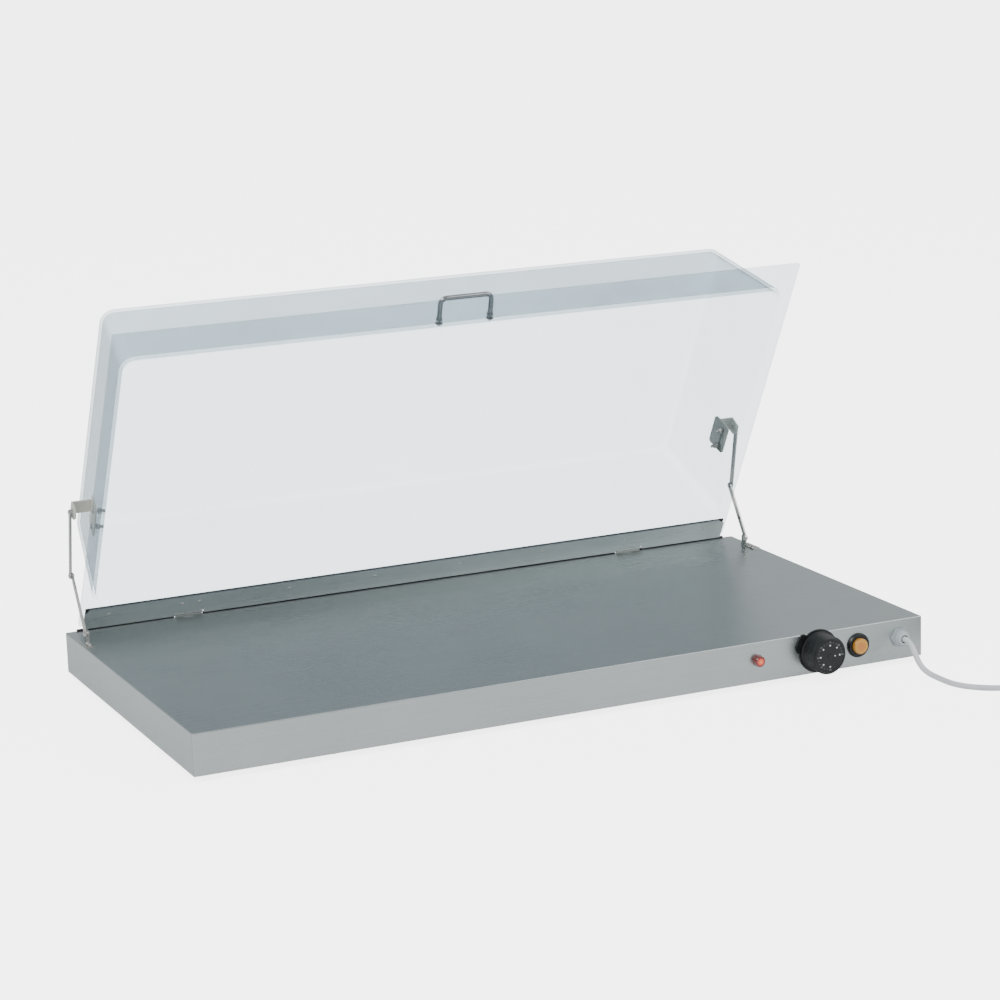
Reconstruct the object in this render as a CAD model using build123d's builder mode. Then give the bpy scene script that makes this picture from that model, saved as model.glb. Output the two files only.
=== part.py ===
"""Heated display plate with a hinged clear cover. Millimetres, +Z up, front towards -Y.

A folded stainless box holds a heater under its top. A clear dome is hinged along the rear edge and is
modelled open, held by a folding stay at each end. The floor is z = 0.
"""

from build123d import *
import math
import os

os.makedirs("parts", exist_ok=True)

# Base
BASE_W = 1000.0
BASE_D = 508.0
BASE_H = 53.0
SHEET = 1.5
FOLD_R = 1.5
SEAM_IN = 2.0
SEAM_W = 0.5
LIP = 14.0
COVER_T = 1.2
FOOT_H = 6.8

# Lid, in its own frame: x across, y back from the hinge axis, z out of the dome
LID_OPEN = 61.4
LID_W = 965.0
LID_D = 482.0
ACRYLIC = 4.0
LID_GAP = 0.3
MOUTH_W = 937.0
MOUTH_FRONT = -444.8
MOUTH_REAR = -41.5
DOME_H = 147.0
PANEL_W = 895.0
PANEL_FRONT = -410.8
PANEL_REAR = -46.5
DOME_EDGE_R = 9.0

# Hinges and the strip that ties them to the lid
AXIS_IN = 4.0
AXIS_UP = 5.0
KNUCKLE_R = 2.5
PIN_R = 1.25
LEAF_T = 1.2
HINGE_L = 38.0
HINGE_X = 330.0
STRIP_W = 955.0
STRIP_H = 33.0
STRIP_T = 2.0
GASKET_T = 1.5

# Controls, along one line on the front
CONTROL_UP = 29.0
LAMP_X = 255.5
KNOB_X = 344.0
SWITCH_X = 403.5
GLAND_X = 466.5
KNOB_R = 25.0
KNOB_OUT = 30.5
BUTTON_TRAVEL = 3.0

# Folding stays: pivots given from the hinge axis, at the open position
ARM_T = 2.0
ARM_W = 8.0
FOOT_PIVOT = (-56.0, 6.0)
KNEE = (-11.0, 74.4)
LID_PIVOT = (-157.0, 53.0)
LOWER_X = 490.0
UPPER_X = 492.5

# Power cord
CORD_D = 7.4
COIL_R = 44.0
COIL_COLUMNS = 2
COIL_LAYERS = 3
COIL_TURNS = 5.25

# Derived positions
SHELL_Z = FOOT_H + COVER_T
TOP_Z = SHELL_Z + BASE_H
angle = math.radians(LID_OPEN)
dome_reach = (
    BASE_D / 2 - AXIS_IN
    + (PANEL_REAR - DOME_EDGE_R) * math.cos(angle)
    + (LID_GAP + DOME_H - DOME_EDGE_R) * math.sin(angle)
    + DOME_EDGE_R
)
BASE_Y = (BASE_D / 2 + KNOB_OUT - dome_reach) / 2
FRONT_Y = BASE_Y - BASE_D / 2
REAR_Y = BASE_Y + BASE_D / 2
AXIS_Y = REAR_Y - AXIS_IN
AXIS_Z = TOP_Z + AXIS_UP
CONTROL_Z = SHELL_Z + CONTROL_UP
SWITCH_Z = CONTROL_Z - 1.5
LID = Location(Plane(
    origin=(0, AXIS_Y, AXIS_Z), x_dir=(1, 0, 0), z_dir=(0, math.sin(angle), math.cos(angle))
))


def save(builder, name):
    """Label a finished piece and write it."""
    builder.part.label = name
    export_step(builder.part, f"parts/{name}.step")


def turn(points, origin, direction, mode=Mode.ADD):
    """Revolve an outline of (distance along direction, radius) about the line through origin."""
    side = Vector(0, 0, 1) if abs(Vector(direction).Z) < 0.9 else Vector(0, 1, 0)
    side = side - Vector(direction) * side.dot(Vector(direction))
    section = Plane(origin=origin, x_dir=direction, z_dir=Vector(direction).cross(side))
    with BuildSketch(section) as outline:
        with BuildLine():
            Polyline(*points, close=True)
        make_face()
    revolve(outline.sketch, axis=Axis(origin, direction), mode=mode)


def rod(origin, direction, length, radius, bore=0.0, mode=Mode.ADD):
    """A plain cylinder or tube from origin along direction."""
    turn([(0, bore), (0, radius), (length, radius), (length, bore)], origin, direction, mode)


def screw(origin, direction, length, radius, head_r, head_h):
    """A screw whose head sits on origin, outside the joint, with its shank along direction."""
    dome = [(-head_h, 0), (-head_h, head_r * 0.55), (-head_h * 0.5, head_r * 0.93), (0, head_r)]
    turn(dome + [(0, radius), (length, radius), (length, 0)], origin, direction)


def lid_point(x, y, z):
    """A point of the lid's own frame, in the part's frame at the open position."""
    return (LID * Location((x, y, z))).position


def lid_dir(x, y, z):
    """A direction of the lid's own frame, in the part's frame at the open position."""
    return lid_point(x, y, z) - lid_point(0, 0, 0)


def front(x, out=0.0, z=CONTROL_Z):
    """Sketch plane on the front at a control's centre, facing out."""
    return Plane(origin=(x, FRONT_Y - out, z), x_dir=(1, 0, 0), z_dir=(0, -1, 0))


OUT = (0, -1, 0)
INTO = (0, 1, 0)
UP = (0, 0, 1)
DOWN = (0, 0, -1)

# ---- Base shell: a folded tray, open below, with a lip all round for the bottom cover ----
SCREW_R = 2.0
FOOT_RECESS_Z = 3.0
FOOT_X = BASE_W / 2 - 60
FOOT_Y = BASE_D / 2 - 55
COVER_SCREWS = [
    (x, BASE_Y + y)
    for x, y in [(-490, 0), (490, 0)] + [(x, s * 244) for x in (-320, 0, 320) for s in (-1, 1)]
]
BRACKET_X = 491.0
BRACKET_SCREW_Y = [AXIS_Y + FOOT_PIVOT[0] + dy for dy in (-10.0, -19.0)]
RIVET_X = [HINGE_X * s + dx for s in (-1, 1) for dx in (-12, 12)]
LEAF_DROP = 22.0
RIVET_Z = TOP_Z - 14.0

with BuildPart() as base_shell:
    with BuildSketch(Plane.XY.offset(SHELL_Z)):
        with Locations((0, BASE_Y)):
            Rectangle(BASE_W, BASE_D)
    extrude(amount=BASE_H)
    fillet(base_shell.edges().filter_by(Axis.Z), FOLD_R)
    fillet(base_shell.faces().sort_by(Axis.Z)[-1].edges(), FOLD_R - 0.1)
    with BuildSketch(Plane.XY.offset(SHELL_Z + SHEET)):
        with Locations((0, BASE_Y)):
            Rectangle(BASE_W - 2 * SHEET, BASE_D - 2 * SHEET)
    extrude(amount=BASE_H - 2 * SHEET, mode=Mode.SUBTRACT)
    with BuildSketch(Plane.XY.offset(SHELL_Z)):
        with Locations((0, BASE_Y)):
            Rectangle(BASE_W - 2 * LIP, BASE_D - 2 * LIP)
    extrude(amount=SHEET, mode=Mode.SUBTRACT)
    for x, z, radius in [
        (LAMP_X, CONTROL_Z, 5.0), (KNOB_X, CONTROL_Z, 5.2), (SWITCH_X, SWITCH_Z, 11.0), (GLAND_X, CONTROL_Z, 10.0)
    ]:
        rod((x, FRONT_Y - 1, z), INTO, SHEET + 2, radius, mode=Mode.SUBTRACT)
    for dx in (-14, 14):
        rod((KNOB_X + dx, FRONT_Y - 1, CONTROL_Z), INTO, SHEET + 2, 2.1, mode=Mode.SUBTRACT)
    with BuildSketch(Plane.XY.offset(TOP_Z - SHEET)):
        for side in (-1, 1):
            with Locations((side * HINGE_X, REAR_Y - SHEET - 0.8)):
                Rectangle(HINGE_L + 1, 1.6)
            with Locations(*[(side * BRACKET_X, y) for y in BRACKET_SCREW_Y]):
                Circle(1.6)
    extrude(amount=SHEET + 1, mode=Mode.SUBTRACT)
    for x in RIVET_X:
        rod((x, REAR_Y + 1, RIVET_Z), OUT, SHEET + 2, 1.6, mode=Mode.SUBTRACT)
    for x, y in COVER_SCREWS:
        rod((x, y, SHELL_Z - 1), UP, SHEET + 2, SCREW_R, mode=Mode.SUBTRACT)
    # The open seams where the front and rear folds meet the side walls.
    with BuildSketch(Plane.XY.offset(SHELL_Z + SHEET + 1)):
        with Locations((0, FRONT_Y + SEAM_IN), (0, REAR_Y - SEAM_IN)):
            Rectangle(BASE_W + 2, SEAM_W)
            Rectangle(BASE_W - 2 * SHEET, SEAM_W, mode=Mode.SUBTRACT)
    extrude(amount=BASE_H - SHEET - 4, mode=Mode.SUBTRACT)
save(base_shell, "base_shell")

# ---- Bottom cover with two rows of vent slots, its screws, and the feet ----
VENTS = [(x, BASE_Y + y) for x in range(-300, 301, 60) for y in (-120, 120)]
with BuildPart() as bottom_cover:
    with BuildSketch(Plane.XY.offset(FOOT_H)):
        with Locations((0, BASE_Y)):
            RectangleRounded(BASE_W - 6, BASE_D - 6, 4)
        with Locations(*VENTS):
            SlotOverall(32, 5, mode=Mode.SUBTRACT)
        with Locations(*COVER_SCREWS):
            Circle(SCREW_R, mode=Mode.SUBTRACT)
        with Locations((0, BASE_Y)):
            with GridLocations(2 * FOOT_X, 2 * FOOT_Y, 2, 2):
                Circle(SCREW_R, mode=Mode.SUBTRACT)
    extrude(amount=COVER_T)
save(bottom_cover, "bottom_cover")

with BuildPart() as rubber_feet:
    for sx in (-1, 1):
        for sy in (-1, 1):
            foot = [(0, 4.3), (0, 9.0), (0.8, 10.0), (FOOT_H, 11.5), (FOOT_H, SCREW_R),
                    (FOOT_RECESS_Z, SCREW_R), (FOOT_RECESS_Z, 4.3)]
            turn(foot, (sx * FOOT_X, BASE_Y + sy * FOOT_Y, 0), UP)
save(rubber_feet, "rubber_feet")

with BuildPart() as underside_screws:
    for x, y in COVER_SCREWS:
        screw((x, y, FOOT_H), UP, 8.0, SCREW_R, 3.8, 2.0)
    for sx in (-1, 1):
        for sy in (-1, 1):
            screw((sx * FOOT_X, BASE_Y + sy * FOOT_Y, FOOT_RECESS_Z), UP, 8.0, SCREW_R, 3.8, 2.0)
save(underside_screws, "underside_screws")

# ---- Heating: a spreader plate under the top, a silicone mat, insulation, three clamp bars ----
HEAT_W = 930.0
HEAT_D = 420.0
HEAT_Y = BASE_Y + 25.0
SPREADER_T = 2.0
MAT_T = 2.5
BOARD_T = 12.0
BAR_X = (-300.0, 0.0, 300.0)
STUD_Y = [HEAT_Y - 195, HEAT_Y + 195]
spreader_z = TOP_Z - SHEET - SPREADER_T
mat_z = spreader_z - MAT_T
board_z = mat_z - BOARD_T
STUDS = [(x, y) for x in BAR_X for y in STUD_Y]


def heat_layer(bottom, width, depth, thickness, hole_r):
    """One flat layer of the heater stack with clearance for the clamp studs."""
    with BuildSketch(Plane.XY.offset(bottom)) as layer:
        with Locations((0, HEAT_Y)):
            RectangleRounded(width, depth, 8)
        with Locations(*STUDS):
            Circle(hole_r, mode=Mode.SUBTRACT)
    extrude(layer.sketch, amount=thickness)


with BuildPart() as heat_spreader_plate:
    heat_layer(spreader_z, HEAT_W, HEAT_D, SPREADER_T, 3.0)
save(heat_spreader_plate, "heat_spreader_plate")

with BuildPart() as heater_mat:
    heat_layer(mat_z, HEAT_W - 10, HEAT_D - 10, MAT_T, 4.0)
save(heater_mat, "heater_mat")

with BuildPart() as insulation_board:
    heat_layer(board_z, HEAT_W, HEAT_D, BOARD_T, 3.5)
save(insulation_board, "insulation_board")

BAR_T = 2.0
with BuildPart() as clamp_bars:
    with BuildSketch(Plane.XY.offset(board_z - BAR_T)):
        with Locations(*[(x, HEAT_Y) for x in BAR_X]):
            Rectangle(25, HEAT_D)
        with Locations(*STUDS):
            Circle(2.2, mode=Mode.SUBTRACT)
    extrude(amount=BAR_T)
save(clamp_bars, "clamp_bars")

with BuildPart() as weld_studs:
    for x, y in STUDS:
        rod((x, y, TOP_Z - SHEET), DOWN, TOP_Z - SHEET - board_z + BAR_T + 5, 2.0)
save(weld_studs, "weld_studs")

with BuildPart() as clamp_nuts:
    with BuildSketch(Plane.XY.offset(board_z - BAR_T)):
        with Locations(*STUDS):
            RegularPolygon(4.0, 6)
            Circle(2.0, mode=Mode.SUBTRACT)
    extrude(amount=-3.2)
save(clamp_nuts, "clamp_nuts")

# ---- Thermostat: body, screws, capillary, bulb and its clips, bezel, knob and shaft ----
inner_y = FRONT_Y + SHEET
BODY_DEPTH = 26.0
with BuildPart() as thermostat_body:
    with BuildSketch(front(KNOB_X, -SHEET)):
        RectangleRounded(40, 34, 3)
    extrude(amount=-BODY_DEPTH)
    rod((KNOB_X, inner_y, CONTROL_Z), OUT, SHEET, 5.2)
    rod((KNOB_X, inner_y + 10, CONTROL_Z), OUT, 12, 3.05, mode=Mode.SUBTRACT)
    for dx in (-14, 14):
        rod((KNOB_X + dx, inner_y - 1, CONTROL_Z), INTO, 8, 2.0, mode=Mode.SUBTRACT)
save(thermostat_body, "thermostat_body")

with BuildPart() as thermostat_screws:
    for dx in (-14, 14):
        turn(
            [(0, 0), (0, 1.9), (1.9, 3.6), (1.9, 0)],
            (KNOB_X + dx, FRONT_Y, CONTROL_Z), OUT,
        )
        rod((KNOB_X + dx, FRONT_Y, CONTROL_Z), INTO, SHEET + 6, 2.0)
save(thermostat_screws, "thermostat_screws")

BULB_X = 200.0
BULB_L = 90.0
BULB_R = 3.0
BULB_Y = inner_y + 22.0
with BuildPart() as sensor_bulb:
    turn(
        [(0, 0), (0, 2), (3, BULB_R), (BULB_L - 3, BULB_R), (BULB_L, 2), (BULB_L, 0)],
        (BULB_X, BULB_Y, TOP_Z - SHEET - BULB_R), (-1, 0, 0),
    )
save(sensor_bulb, "sensor_bulb")

CLIP_T = 0.8
CLIP_W = 10.0
with BuildPart() as bulb_clips:
    for dx in (20, 70):
        clip_plane = Plane(origin=(BULB_X - dx, BULB_Y, TOP_Z - SHEET - BULB_R), x_dir=(0, 1, 0), z_dir=(1, 0, 0))
        with BuildSketch(clip_plane) as strap:
            Circle(BULB_R + CLIP_T)
            with Locations((0, BULB_R / 2)):
                Rectangle(2 * (BULB_R + CLIP_T), BULB_R)
            with Locations((9, BULB_R - CLIP_T / 2)):
                Rectangle(12, CLIP_T)
            Circle(BULB_R, mode=Mode.SUBTRACT)
            with Locations((0, BULB_R / 2)):
                Rectangle(2 * BULB_R, BULB_R, mode=Mode.SUBTRACT)
            with Locations((0, 2 * BULB_R)):
                Rectangle(40, 2 * BULB_R, mode=Mode.SUBTRACT)
        extrude(strap.sketch, amount=-CLIP_W)
save(bulb_clips, "bulb_clips")

with BuildPart() as capillary_tube:
    with BuildLine() as capillary_path:
        FilletPolyline(
            (KNOB_X - 20, BULB_Y - 8, CONTROL_Z),
            (KNOB_X - 40, BULB_Y - 8, CONTROL_Z),
            (KNOB_X - 75, BULB_Y, TOP_Z - SHEET - BULB_R),
            (BULB_X, BULB_Y, TOP_Z - SHEET - BULB_R),
            radius=14,
        )
    with BuildSketch(Plane(origin=capillary_path.line @ 0, z_dir=capillary_path.line % 0)):
        Circle(0.75)
    sweep()
save(capillary_tube, "capillary_tube")

BEZEL_T = 2.0
BEZEL_R = 28.5
TAB_REACH = 34.5
TAB_DEG = 153.0
with BuildPart() as knob_bezel:
    tab_turn = math.radians(TAB_DEG)
    with BuildSketch(front(KNOB_X)):
        Circle(BEZEL_R)
        with Locations(Location(
            (TAB_REACH / 2 * math.cos(tab_turn), TAB_REACH / 2 * math.sin(tab_turn), 0), (0, 0, TAB_DEG)
        )):
            RectangleRounded(TAB_REACH, 26, 7)
        Circle(5.4, mode=Mode.SUBTRACT)
    extrude(amount=BEZEL_T)
    rim = knob_bezel.faces().sort_by(Axis.Y)[0].outer_wire().edges()
    chamfer(rim, 0.7)
    for dx in (-14, 14):
        rod((KNOB_X + dx, FRONT_Y + 1, CONTROL_Z), OUT, 5, 3.8, mode=Mode.SUBTRACT)
save(knob_bezel, "knob_bezel")

KNOB_BACK = 2.5
SHAFT_OUT = 22.5
GROOVES = (5.0, 8.5, 12.0, 15.5, 19.0)
with BuildPart() as thermostat_knob:
    side = [(KNOB_BACK, 6), (KNOB_BACK, KNOB_R + 1.5), (4.0, KNOB_R + 1.5), (4.6, KNOB_R)]
    for at in GROOVES:
        side += [(at, KNOB_R), (at + 0.5, KNOB_R - 0.8), (at + 1.3, KNOB_R - 0.8), (at + 1.8, KNOB_R)]
    face = [(26.5, KNOB_R), (28.3, KNOB_R - 2.5), (KNOB_OUT, KNOB_R - 3.2), (KNOB_OUT, 0)]
    shaft_bore = [(SHAFT_OUT, 0), (SHAFT_OUT, 3), (8, 3), (8, 6)]
    turn(side + face + shaft_bore, (KNOB_X, FRONT_Y, CONTROL_Z), OUT)
save(thermostat_knob, "thermostat_knob")

with BuildPart() as thermostat_shaft:
    rod((KNOB_X, FRONT_Y - SHAFT_OUT, CONTROL_Z), INTO, SHAFT_OUT + SHEET + 9.5, 3.0)
save(thermostat_shaft, "thermostat_shaft")

# ---- Push button: bezel with a threaded barrel, locknut, contact block, spring and cap ----
BARREL_L = 16.0
with BuildPart() as switch_bezel:
    barrel = [(-BARREL_L, 8.0), (-BARREL_L, 11.0), (0, 11.0)]
    collar = [(0, 16.0), (1.6, 16.0), (4.2, 14.2), (4.2, 10.8), (0.6, 10.8), (0.6, 8.0)]
    turn(barrel + collar, (SWITCH_X, FRONT_Y, SWITCH_Z), OUT)
save(switch_bezel, "switch_bezel")

with BuildPart() as switch_locknut:
    with BuildSketch(front(SWITCH_X, -SHEET, SWITCH_Z)):
        RegularPolygon(15.5, 6)
        Circle(11.0, mode=Mode.SUBTRACT)
    extrude(amount=-4)
save(switch_locknut, "switch_locknut")

with BuildPart() as switch_body:
    with BuildSketch(front(SWITCH_X, -BARREL_L, SWITCH_Z)):
        RectangleRounded(26, 26, 2)
    extrude(amount=-24)
    rod((SWITCH_X, FRONT_Y + BARREL_L, SWITCH_Z), INTO, 9, 8.0, mode=Mode.SUBTRACT)
save(switch_body, "switch_body")

with BuildPart() as switch_button_cap:
    cap = [(4.1, 10.3), (7.8, 10.3), (8.9, 9.6), (9.4, 8.4), (9.4, 0)]
    turn([(-13, 0), (-13, 7.6), (4.1, 7.6)] + cap, (SWITCH_X, FRONT_Y, SWITCH_Z), OUT)
save(switch_button_cap, "switch_button_cap")

SPRING_L = 7.0
with BuildPart() as switch_spring:
    spring_base = (SWITCH_X, FRONT_Y + BARREL_L + 8.4, SWITCH_Z)
    with BuildLine() as coil_line:
        Helix(pitch=2.0, height=SPRING_L, radius=5.0, center=spring_base, direction=OUT)
    with BuildSketch(Plane(origin=coil_line.line @ 0, z_dir=coil_line.line % 0)):
        Circle(0.45)
    sweep(is_frenet=True)
save(switch_spring, "switch_spring")

# ---- Pilot lamp ----
with BuildPart() as pilot_lamp_lens:
    lens = [(0, 0), (0, 7.6), (1.2, 7.6), (1.6, 7.1), (7.4, 6.9), (8.3, 6.2), (8.6, 5.0), (8.6, 0)]
    turn(lens, (LAMP_X, FRONT_Y, CONTROL_Z), OUT)
save(pilot_lamp_lens, "pilot_lamp_lens")

with BuildPart() as pilot_lamp_body:
    rod((LAMP_X, FRONT_Y, CONTROL_Z), INTO, 26, 5.0)
save(pilot_lamp_body, "pilot_lamp_body")

with BuildPart() as pilot_lamp_nut:
    with BuildSketch(front(LAMP_X, -SHEET)):
        RegularPolygon(8.0, 6)
        Circle(5.0, mode=Mode.SUBTRACT)
    extrude(amount=-3)
save(pilot_lamp_nut, "pilot_lamp_nut")

# ---- Cable gland and the sheathed end of the cord inside it ----
CORD_R = CORD_D / 2
GLAND_OUT = 12.0
HEX_T = 4.0
THREAD_OUT = 8.0
with BuildPart() as gland_body:
    with BuildSketch(front(GLAND_X)):
        RegularPolygon(13.4, 6)
    extrude(amount=HEX_T)
    turn([(-11, 0), (-11, 10), (0, 10), (0, 11.2), (HEX_T, 11.2), (HEX_T, 8.0), (THREAD_OUT, 8.0), (THREAD_OUT, 0)],
         (GLAND_X, FRONT_Y, CONTROL_Z), OUT)
    rod((GLAND_X, FRONT_Y - 10, CONTROL_Z), INTO, 24, CORD_R, mode=Mode.SUBTRACT)
save(gland_body, "gland_body")

MOUTH_R = 5.0
with BuildPart() as gland_cap_nut:
    shell = [(HEX_T, 8.0), (HEX_T, 10.6), (7.2, 10.4), (8.4, 8.8), (10.8, 8.4), (GLAND_OUT, 7.2)]
    turn(shell + [(GLAND_OUT, MOUTH_R), (THREAD_OUT, MOUTH_R), (THREAD_OUT, 8.0)],
         (GLAND_X, FRONT_Y, CONTROL_Z), OUT)
save(gland_cap_nut, "gland_cap_nut")

with BuildPart() as gland_locknut:
    with BuildSketch(front(GLAND_X, -SHEET)):
        RegularPolygon(14.5, 6)
        Circle(10.0, mode=Mode.SUBTRACT)
    extrude(amount=-4.5)
save(gland_locknut, "gland_locknut")

INNER_END = 18.0
with BuildPart() as cord_inner_end:
    rod((GLAND_X, FRONT_Y - GLAND_OUT, CONTROL_Z), INTO, GLAND_OUT + INNER_END, CORD_R)
save(cord_inner_end, "cord_inner_end")

# ---- Terminal block, earth stud and wires ----
BLOCK_Y = FRONT_Y + 52.0
BLOCK_TOP = SHELL_Z + 17.0
with BuildPart() as terminal_block:
    with BuildSketch(Plane.XY.offset(SHELL_Z)):
        with Locations((GLAND_X, BLOCK_Y)):
            RectangleRounded(34, 20, 2)
    extrude(amount=BLOCK_TOP - SHELL_Z)
    for dx in (-11, 0, 11):
        rod((GLAND_X + dx, BLOCK_Y, BLOCK_TOP), DOWN, 5, 2.2, mode=Mode.SUBTRACT)
save(terminal_block, "terminal_block")

EARTH = (430.0, FRONT_Y + 50.0)
with BuildPart() as earth_stud:
    rod((*EARTH, SHELL_Z), UP, 14, 2.0)
    with BuildSketch(Plane.XY.offset(SHELL_Z + 2)):
        with Locations(EARTH):
            RegularPolygon(4.4, 6)
    extrude(amount=3.2)
save(earth_stud, "earth_stud")


def wire(points, radius=1.1, bend=5.0):
    """An insulated wire along points with rounded corners."""
    with BuildLine() as path:
        FilletPolyline(*points, radius=bend)
    with BuildSketch(Plane(origin=path.line @ 0, z_dir=path.line % 0)) as section:
        Circle(radius)
    sweep(section.sketch, path=path.line)


with BuildPart() as internal_wires:
    for dx in (-1.6, 1.6):
        wire([
            (GLAND_X + dx, FRONT_Y + INNER_END, CONTROL_Z),
            (GLAND_X + dx, FRONT_Y + INNER_END + 14, CONTROL_Z),
            (GLAND_X + dx * 4, BLOCK_Y - 2, CONTROL_Z + 2),
            (GLAND_X + dx * 4, BLOCK_Y - 2, BLOCK_TOP),
        ], 1.0)
    wire([
        (SWITCH_X + 5, FRONT_Y + BARREL_L + 24, SWITCH_Z),
        (SWITCH_X + 5, FRONT_Y + BARREL_L + 38, SWITCH_Z),
        (GLAND_X - 14, BLOCK_Y + 6, CONTROL_Z),
        (GLAND_X - 14, BLOCK_Y + 6, BLOCK_TOP),
    ])
    wire([
        (SWITCH_X - 5, FRONT_Y + BARREL_L + 24, SWITCH_Z),
        (SWITCH_X - 5, FRONT_Y + BARREL_L + 34, SWITCH_Z),
        (KNOB_X + 8, FRONT_Y + BARREL_L + 34, CONTROL_Z - 4),
        (KNOB_X + 8, inner_y + BODY_DEPTH, CONTROL_Z - 4),
    ])
    wire([
        (KNOB_X - 8, inner_y + BODY_DEPTH, CONTROL_Z - 4),
        (KNOB_X - 8, inner_y + BODY_DEPTH + 12, CONTROL_Z - 4),
        (LAMP_X, inner_y + BODY_DEPTH + 14, CONTROL_Z),
        (LAMP_X, FRONT_Y + 26, CONTROL_Z),
    ])
    wire([
        (GLAND_X, FRONT_Y + INNER_END, CONTROL_Z - 2.4),
        (GLAND_X, FRONT_Y + INNER_END + 8, CONTROL_Z - 2.4),
        (EARTH[0], EARTH[1], CONTROL_Z - 2.4),
        (EARTH[0], EARTH[1], SHELL_Z + 14),
    ], 1.0, 4.0)
save(internal_wires, "internal_wires")

# ---- Lid dome: flange and drafted tub in one clear moulding ----
MOUTH_FRONT_R = 20.0
MOUTH_REAR_R = 13.0
FLANGE_REAR = -1.0
HANDLE_W = 72.0
HANDLE_UP = 14.0
HANDLE_OUT = 30.0
WIRE_R = 3.25
front_slope = math.atan2(PANEL_FRONT - MOUTH_FRONT, DOME_H)
side_slope = math.atan2((MOUTH_W - PANEL_W) / 2, DOME_H)
rear_slope = math.atan2(MOUTH_REAR - PANEL_REAR, DOME_H)
wall_out = (0, -math.cos(front_slope), math.sin(front_slope))
handle_y = MOUTH_FRONT + (HANDLE_UP - LID_GAP) * math.tan(front_slope)
BRACKET_SCREWS = [(-165.0, 41.0), (-138.0, 41.0)]
lid_normal = Axis(lid_point(0, 0, 0), lid_dir(0, 0, 1))


def lid_plane(plane):
    """A plane given in the lid's frame, moved to the part's frame."""
    return Plane(LID * plane.location)


def shape_tub(tub, inset, bottom, edge_r):
    """Shape a builder's part as the dome's drafted, rounded body, inset all round from its outer face."""
    top = LID_GAP + DOME_H - inset
    with BuildSketch(lid_plane(Plane.XY.offset(bottom))) as block:
        with Locations((0, -LID_D / 2)):
            Rectangle(LID_W, LID_D)
    extrude(block.sketch, amount=top - bottom)
    walls = [
        ((MOUTH_W / 2, 0, LID_GAP), (math.cos(side_slope), 0, math.sin(side_slope))),
        ((-MOUTH_W / 2, 0, LID_GAP), (-math.cos(side_slope), 0, math.sin(side_slope))),
        ((0, MOUTH_FRONT, LID_GAP), wall_out),
        ((0, MOUTH_REAR, LID_GAP), (0, math.cos(rear_slope), math.sin(rear_slope))),
    ]
    for origin, normal in walls:
        split(bisect_by=lid_plane(Plane(origin=origin, z_dir=normal)).offset(-inset), keep=Keep.BOTTOM)
    for radius, at_rear in ((MOUTH_FRONT_R, False), (MOUTH_REAR_R, True)):
        corners = [
            edge for edge in tub.edges().filter_by(GeomType.LINE)
            if abs((edge @ 1 - edge @ 0).dot(lid_normal.direction)) > DOME_H / 2
            and ((edge @ 0 - lid_normal.position).dot(lid_dir(0, 1, 0)) > -LID_D / 2) == at_rear
        ]
        fillet(corners, radius - inset)
    fillet(tub.faces().sort_by(lid_normal)[-1].edges(), edge_r)


with BuildPart() as dome_inside:
    shape_tub(dome_inside, ACRYLIC, LID_GAP - 5, DOME_EDGE_R - ACRYLIC)

STRIP_SCREW_Y = -20.0
STRIP_SCREWS = [s * x for x in (444.0, 342.0, 318.0, 190.0, 64.0) for s in (-1, 1)]
handle_feet = [(s * HANDLE_W / 2, handle_y, HANDLE_UP) for s in (-1, 1)]
bracket_screws = [
    (s * (MOUTH_W / 2 - (z - LID_GAP) * math.tan(side_slope)), y, z)
    for s in (-1, 1) for y, z in BRACKET_SCREWS
]


def side_out(x):
    """The outward direction of the dome's side wall nearest x, in the lid's frame."""
    return (math.copysign(math.cos(side_slope), x), 0, math.sin(side_slope))


def hinge_notches(depth, bottom, height):
    """Cut room for both hinge knuckles out of a lid sheet's rear edge."""
    with BuildSketch(lid_plane(Plane.XY.offset(bottom))) as notch:
        with Locations((-HINGE_X, -depth / 2 + 5), (HINGE_X, -depth / 2 + 5)):
            Rectangle(HINGE_L + 2, depth + 10)
    extrude(notch.sketch, amount=height, mode=Mode.SUBTRACT)


with BuildPart() as lid_dome:
    shape_tub(lid_dome, 0, LID_GAP, DOME_EDGE_R)
    with BuildSketch(lid_plane(Plane.XY.offset(LID_GAP))):
        with Locations((0, (FLANGE_REAR - LID_D) / 2)):
            RectangleRounded(LID_W, LID_D + FLANGE_REAR, 2)
    extrude(amount=ACRYLIC)
    add(dome_inside.part, mode=Mode.SUBTRACT)
    hinge_notches(3.4, LID_GAP, ACRYLIC)
    for x in STRIP_SCREWS:
        rod(lid_point(x, STRIP_SCREW_Y, 0), lid_dir(0, 0, 1), 10, 1.5, mode=Mode.SUBTRACT)
    for foot in handle_feet:
        rod(lid_point(*foot) + lid_dir(*wall_out), -lid_dir(*wall_out), 8, 2.0, mode=Mode.SUBTRACT)
    for point in bracket_screws:
        outward = lid_dir(*side_out(point[0]))
        rod(lid_point(*point) + outward, -outward, 8, 2.0, mode=Mode.SUBTRACT)
save(lid_dome, "lid_dome")

# ---- Hinge strip, gasket and their rivets ----
GASKET_Z = LID_GAP - GASKET_T
STRIP_Z = GASKET_Z - STRIP_T
with BuildPart() as hinge_strip:
    with BuildSketch(lid_plane(Plane.XY.offset(STRIP_Z))):
        with Locations((0, 1.5 - STRIP_H / 2)):
            strip = Rectangle(STRIP_W, STRIP_H)
        chamfer(strip.vertices().group_by(Axis.Y)[0], 9, 6)
        with Locations(*[(x, STRIP_SCREW_Y) for x in STRIP_SCREWS]):
            Circle(1.5, mode=Mode.SUBTRACT)
    extrude(amount=STRIP_T)
    hinge_notches(3.4, STRIP_Z, STRIP_T)
save(hinge_strip, "hinge_strip")

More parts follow.
